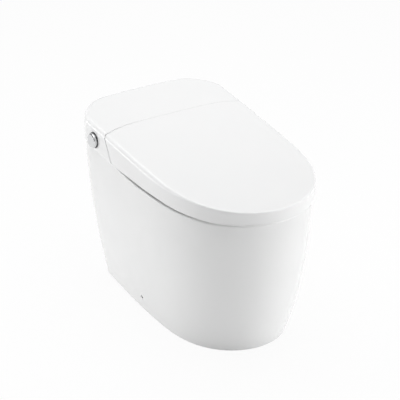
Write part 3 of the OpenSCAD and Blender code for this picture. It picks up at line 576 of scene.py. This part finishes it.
BOWL_S, BOWL_LEN, BOWL_W, BOWL_FULL = 467.0, 376.0, 272.0, 2.3
DISH_DEPTH, SUMP_SHARE, SUMP_Z, SUMP_S = 215.0, 0.36, 92.0, 436.0
BOWL_WALL, LIP_R, LIP_STEPS = 9.0, 6.0, 6
DISH_STEPS, DISH_OUTER_STEPS = 18, 12

# Sump below the dish: its heights, and the share of its own width there
SUMP_LEVELS = (((RIM_Z - DISH_DEPTH + SUMP_Z) / 2, 0.88), (SUMP_Z + 14, 0.74), (SUMP_Z, 0.5))

TRAP_R, TRAP_WALL, TRAP_BEND_R, TRAP_BEND_Z, TRAP_RISE, TRAP_LEG = 27.0, 8.0, 34.0, 182.0, 60.0, 96.0
TRAP_DROPS, TRAP_BEND_STEPS, TRAP_SIDES = (45.0, 90.0), 16, 36
OUTLET_R, HORN_R, HORN_Z, HORN_LEN, HORN_LAP = 30.0, 46.0, 12.0, 42.0, 20.0

BAY_X, BAY_NEAR, BAY_FAR = 150.0, 60.0, 214.0
NOTCH_X, NOTCH_Z, NOTCH_LAP = 62.0, 356.0, 12.0
WINDOW_X, WINDOW_DEEP, WINDOW_LOW, WINDOW_HIGH = 66.0, 60.0, 70.0, 300.0
FLUSH_X, FLUSH_Z, FLUSH_HOLE_R, FLUSH_NEAR, FLUSH_FAR = 80.0, 370.0, 9.6, 280.0, 340.0
FIX_Z, FIX_S, FIX_R, FIX_IN, FIX_OUT = 40.0, 305.0, 4.5, 130.0, 190.0
BOLT_PLACES, BOLT_R = ((170.0, 80.0), (178.0, 200.0)), 4.0


def rim_top(s):
    """Height of the ceramic rim: it follows the housing's rising lower edge."""
    return max(RIM_Z, seam_at(s) - SEAM_GAP)


def body_ring(z):
    u = clip01(z / RIM_Z)
    side, front, rear = (1 - (1 - u) ** c for c in (CURVE_SIDE, CURVE_FRONT, CURVE_REAR))
    ring = []
    for (bx, bs), (tx, ts) in zip(FOOT_RING, RIM_RING):
        w = clip01(bs / CURVE_FRONT_S)
        ring.append((bx + (tx - bx) * side, bs + (ts - bs) * (front * w + rear * (1 - w))))
    return ring


def bowl_levels(steps):
    """Rings of dish and sump: height, share of the dish's width, and how far they stand over the sump."""
    dish = [(RIM_Z - DISH_DEPTH * sin(t), SUMP_SHARE + (1 - SUMP_SHARE) * cos(t), sin(t))
            for t in quarter(steps)]
    return dish + [(z, SUMP_SHARE * share, 1) for z, share in SUMP_LEVELS]


def bowl_ring(level, grow, z):
    ring = oval_at(RIM_RING, BOWL_S, BOWL_LEN / 2 * level[1] + grow, BOWL_W / 2 * level[1] + grow, BOWL_FULL)
    return placed([(x, s + (SUMP_S - BOWL_S) * level[2]) for x, s in ring], z)


def bowl_inside():
    levels = bowl_levels(DISH_STEPS)
    rings = [bowl_ring(levels[0], LIP_R, RIM_Z + LAP)]
    rings += [bowl_ring(levels[0], LIP_R * (1 - sin(t)), RIM_Z - LIP_R * (1 - cos(t)))
              for t in quarter(LIP_STEPS)]
    rings += [bowl_ring(level, 0, level[0]) for level in levels[1:] if level[0] < RIM_Z - LIP_R - LAP]
    return loft("bowl_inside", rings[::-1])


def bowl_outside():
    levels = bowl_levels(DISH_OUTER_STEPS)
    top = RIM_Z - DECK_T / 2
    rings = [bowl_ring(levels[0], BOWL_WALL, top)]
    rings += [bowl_ring(level, BOWL_WALL, level[0] - (BOWL_WALL / 2 if level[2] == 1 else 0))
              for level in levels[1:] if level[0] < top - LAP]
    rings.append(bowl_ring(levels[-1], 0, SUMP_Z - BOWL_WALL))
    return loft("bowl_outside", rings[::-1])


def trap_tube(radius):
    """The trapway from the sump, up its leg, round its bend and down to the outlet."""
    rise = radians(TRAP_RISE)
    bend = []
    for k in range(TRAP_BEND_STEPS + 1):
        a = radians(90 - TRAP_RISE + k * (90 + TRAP_RISE) / TRAP_BEND_STEPS)
        bend.append((OUTLET_TO_REAR + TRAP_BEND_R * (1 + cos(a)), TRAP_BEND_Z + TRAP_BEND_R * sin(a), a))
    line = [(bend[0][0] + leg * cos(rise), bend[0][1] - leg * sin(rise), bend[0][2])
            for leg in (TRAP_LEG, TRAP_LEG / 2)]
    line += bend
    line += [(OUTLET_TO_REAR, TRAP_BEND_Z - drop, pi) for drop in TRAP_DROPS]
    line.append((OUTLET_TO_REAR, HORN_Z + HORN_LAP, pi))
    rings = []
    for s, z, a in line:
        ring = []
        for k in range(TRAP_SIDES):
            t = 2 * pi * k / TRAP_SIDES
            u = radius * cos(t)
            ring.append((-radius * sin(t), OUTLET_TO_REAR - (s + u * cos(a)), z + u * sin(a)))
        rings.append(ring)
    return loft("trap", rings)


def ceramic_skin():
    """The body's outer form, with the rounded rim and the upstand that the wash unit stands in."""
    rings = [placed(body_ring(u * RIM_Z), u * RIM_Z) for u in SKIN_LEVELS]
    rim = body_ring(RIM_Z)
    for t in quarter(RIM_STEPS):
        rings.append(placed(inset(rim, RIM_R * (1 - cos(t))), lambda s: rim_top(s) - RIM_R * (1 - sin(t))))
    rings.append(placed(inset(rim, UPSTAND_T), rim_top))
    rings.append(placed(inset(rim, UPSTAND_T + LAP), RIM_Z))
    return loft("ceramic_skin", rings)


def ceramic_hollow():
    rings = [placed(inset(body_ring(0), SKIRT_WALL), -LAP)]
    rings += [placed(inset(body_ring(u * RIM_Z), SKIRT_WALL), u * RIM_Z) for u in HOLLOW_LEVELS]
    return loft("hollow", rings)


def ceramic_cuts():
    """The bowl, the trapway, the openings for wash unit and pipes, and the holes for screws and bolts."""
    flush = [(FLUSH_X, OUTLET_TO_REAR - s, FLUSH_Z) for s in (FLUSH_NEAR, FLUSH_FAR)]
    fix_y = OUTLET_TO_REAR - FIX_S
    cuts = [bowl_inside(), trap_tube(TRAP_R), rod((0, 0, HORN_Z - LAP), (0, 0, HORN_Z + HORN_LEN), OUTLET_R),
            block(-BAY_X, BAY_X, BAY_NEAR, BAY_FAR, DECK_LOW - CUT, RIM_Z + CUT),
            block(-NOTCH_X, NOTCH_X, BAY_FAR - LAP, BOWL_S - BOWL_LEN / 2 + NOTCH_LAP, NOTCH_Z, RIM_Z + CUT),
            block(-WINDOW_X, WINDOW_X, -2 * CUT, WINDOW_DEEP, WINDOW_LOW, WINDOW_HIGH),
            rod(*flush, FLUSH_HOLE_R)]
    for side in (-1, 1):
        cuts.append(rod((side * FIX_IN, fix_y, FIX_Z), (side * FIX_OUT, fix_y, FIX_Z), FIX_R))
        for x, s in BOLT_PLACES:
            y = OUTLET_TO_REAR - s
            cuts.append(rod((side * x, y, DECK_LOW - CUT), (side * x, y, RIM_Z + CUT), BOLT_R))
    return cuts


def ceramic_piece():
    body = ceramic_skin()
    combine(body, "DIFFERENCE", ceramic_hollow())
    horn = rod((0, 0, HORN_Z), (0, 0, HORN_Z + HORN_LEN), HORN_R)
    combine(body, "UNION", bowl_outside(), trap_tube(TRAP_R + TRAP_WALL), horn)
    combine(body, "DIFFERENCE", *ceramic_cuts())
    dress(body, "root", "glazed_ceramic", "ceramic_skirt", "ceramic_deck", "ceramic_bowl", "ceramic_trapway")


# Seat top

SEAT_TOP_Z, SEAT_LOW_Z, SEAT_PLATE_T, SEAT_GAP = 431.0, 400.4, 3.0, 0.3
SEAT_INSET, SEAT_REAR_S, SEAT_CORNER_R, SEAT_CORNER_FULL = 6.0, 238.0, 34, 2
SEAT_TAPER, TAPER_S = 13.0, 500.0
SEAT_WALL, SEAT_EDGE_R, SEAT_EDGE_STEPS = 3.0, 12.0, 8
HOLE_S, HOLE_LEN, HOLE_W, HOLE_FULL = 498.0, 290.0, 210.0, 2.3

# Rings on the crown, as distance from the opening and fall below the top, then the edge that falls into it
CROWN = ((34, 0.05), (22, 0.5))
BRIM_W, BRIM_FALL, BRIM_DEEP, BRIM_STEPS = 14, 1.2, 12.8, 7
SEAT_BEVEL_IN, SEAT_BEVEL_UP = 0.6, 1.0

# Slots at the rear for the seat's arms
SEAT_ARM_X, ARM_T, ARM_FOOT_TOP, ARM_FOOT_T, ARM_ROOM = 110.0, 12.0, 18.5, 10.0, 0.4
ARM_SLOT_BACK, ARM_SLOT_DEEP = SEAT_REAR_S - 2.0, SEAT_REAR_S + 12.0


def taper_at(s):
    """Share of the seat's taper at a distance from the rear."""
    return eased((TAPER_S - s) / (TAPER_S - SEAT_REAR_S))


SEAT_PLAN = [(x, s + SEAT_REAR_S) for x, s in whole(half_outline(
    COVER_LEN - SEAT_INSET - SEAT_REAR_S, COVER_W - 2 * SEAT_INSET, COVER_WIDEST - SEAT_REAR_S, FRONT_FULL,
    SIDE_FULL, SEAT_CORNER_R, SEAT_CORNER_FULL, REAR_HALF_W - SEAT_INSET - 1, 0))]
SEAT_RING = [(x * (1 - taper_at(s) * SEAT_TAPER / REAR_HALF_W), s) for x, s in SEAT_PLAN]


def seat_rim(depth, z):
    return placed(inset(SEAT_RING, depth), z)


def hole_ring(grow, z):
    return placed(oval_at(SEAT_RING, HOLE_S, HOLE_LEN / 2 + grow, HOLE_W / 2 + grow, HOLE_FULL), z)


def seat_piece():
    low, top, wall, edge = SEAT_LOW_Z + SEAT_PLATE_T + SEAT_GAP, SEAT_TOP_Z, SEAT_WALL, SEAT_EDGE_R
    rings = [seat_rim(0, low + SEAT_BEVEL_UP)]
    rings += [seat_rim(edge * (1 - cos(t)), top - edge * (1 - sin(t))) for t in quarter(SEAT_EDGE_STEPS)]
    rings += [hole_ring(out, top - fall) for out, fall in CROWN]
    rings += [hole_ring(BRIM_W * (1 - sin(t)), top - BRIM_FALL - BRIM_DEEP * (1 - cos(t)))
              for t in quarter(BRIM_STEPS)]
    rings += [hole_ring(0, low + SEAT_BEVEL_UP), hole_ring(SEAT_BEVEL_IN, low)]
    inner_out, inner_fall = CROWN[-1]
    rings += [hole_ring(wall, low), hole_ring(wall, top - BRIM_W - wall),
              hole_ring(inner_out, top - inner_fall - wall), seat_rim(edge, top - wall),
              seat_rim(wall, top - edge - wall), seat_rim(wall, low), seat_rim(SEAT_BEVEL_IN, low)]
    seat = hoop("seat_top", rings)
    foot_top = SEAT_LOW_Z + SEAT_PLATE_T + ARM_FOOT_TOP
    half = ARM_T / 2 + ARM_ROOM
    for x in (-SEAT_ARM_X, SEAT_ARM_X):
        combine(seat, "DIFFERENCE", block(x - half, x + half, ARM_SLOT_BACK, ARM_SLOT_DEEP,
                                          foot_top - ARM_FOOT_T - ARM_ROOM, foot_top + ARM_ROOM))
    dress(seat, "seat", "seat_plastic", "seat_ring")


cover_pieces()
ceramic_piece()
seat_piece()

# Finishes on the imported nodes that stay, two of them darker than their slot as painted shade: the knob's
# bezel for the shadow and dark reflections round the knob, the side screws for the shade inside their fixing
# holes

SHADE_PAINTED_FINISHES = {"side_screws": "shade_painted_steel", "knob_bezel": "shade_painted_chrome"}
slots = {row["node"]: row["material_slot"] for row in frame["record"]["subparts"]}
for name, node in frame["nodes"].items():
    node.data.materials.clear()
    node.data.materials.append(FINISHES[SHADE_PAINTED_FINISHES.get(name, slots[name])])


# Stage, light and camera

FLOOR_GLOW, FLOOR_HALF, FLOOR_Z = 0.93, 12000.0, -0.4
WORLD_LIGHT = 0.24
LIGHT_AIM = Vector((0.0, -0.05, 0.25))
CAMERA_PLACE = Vector((-3.09230, -5.21628, 3.36629))
VIEW_RIGHT = Vector((0.85877, -0.51236, 0.0))
VIEW_UP = Vector((0.23260, 0.38986, 0.89102))
LENS, SENSOR_W, VIEW_FAR = 234.01, 36.0, 60.0


def floor_finish():
    """A pale floor that glows towards the camera, so that it shows as near white and keeps the shadow."""
    f = Finish("pale_floor", {"Roughness": 0.9, "Base Color": (0.9, 0.9, 0.9)})
    seen = f.node("ShaderNodeLightPath", output="Is Camera Ray")
    seen = seen.larger(f.node("ShaderNodeLightPath", output="Is Glossy Ray"))
    glow = f.node("ShaderNodeEmission", {}, {"Color": (1, 1, 1), "Strength": 1.0})
    plain = Wire(f, f.shader.outputs[0])
    mixed = f.node("ShaderNodeMixShader", {}, {0: seen * FLOOR_GLOW, 1: plain, 2: glow})
    f.feed(f.tree.nodes["Material Output"].inputs["Surface"], mixed)
    return f.material


def floor_piece():
    corners = [(x * FLOOR_HALF, y * FLOOR_HALF, FLOOR_Z) for x, y in ((-1, -1), (1, -1), (1, 1), (-1, 1))]
    floor = mesh_from("floor", corners, [(0, 1, 2, 3)])
    floor.data.materials.append(floor_finish())


def world_light():
    world = bpy.data.worlds.new("studio")
    world.use_nodes = True
    bpy.context.scene.world = world
    sky = Bench(world.node_tree)
    ambient = sky.node("ShaderNodeBackground", {}, {"Color": (1, 1, 1), "Strength": WORLD_LIGHT})
    seen = sky.node("ShaderNodeBackground", {}, {"Color": (1, 1, 1), "Strength": 1.0})
    camera_ray = sky.node("ShaderNodeLightPath", output="Is Camera Ray")
    mixed = sky.node("ShaderNodeMixShader", {}, {0: camera_ray, 1: ambient, 2: seen})
    sky.feed(sky.tree.nodes["World Output"].inputs["Surface"], mixed)


def softbox(name, place, width, height, power):
    data = bpy.data.lights.new(name, "AREA")
    data.shape = "RECTANGLE"
    data.size, data.size_y = width, height
    data.energy = power
    lamp = new_object(name, data)
    lamp.location = place
    lamp.rotation_mode = "QUATERNION"
    lamp.rotation_quaternion = (LIGHT_AIM - Vector(place)).to_track_quat("-Z", "Y")


def long_lens_camera():
    data = bpy.data.cameras.new("camera")
    data.lens = LENS
    data.sensor_width = SENSOR_W
    data.clip_end = VIEW_FAR
    camera = new_object("camera", data)
    axes = Matrix((VIEW_RIGHT, VIEW_UP, VIEW_RIGHT.cross(VIEW_UP))).transposed().to_4x4()
    camera.matrix_world = Matrix.Translation(CAMERA_PLACE) @ axes
    bpy.context.scene.camera = camera


floor_piece()
world_light()
softbox("top_box", (0.2, 0.3, 2.9), width=3.4, height=3.4, power=84.0)
softbox("left_box", (-2.55, 1.45, 0.24), width=3.6, height=0.4, power=37.0)
softbox("right_box", (1.9, -2.4, 0.24), width=3.6, height=0.4, power=46.0)
long_lens_camera()
bpy.context.scene.view_settings.view_transform = "Standard"
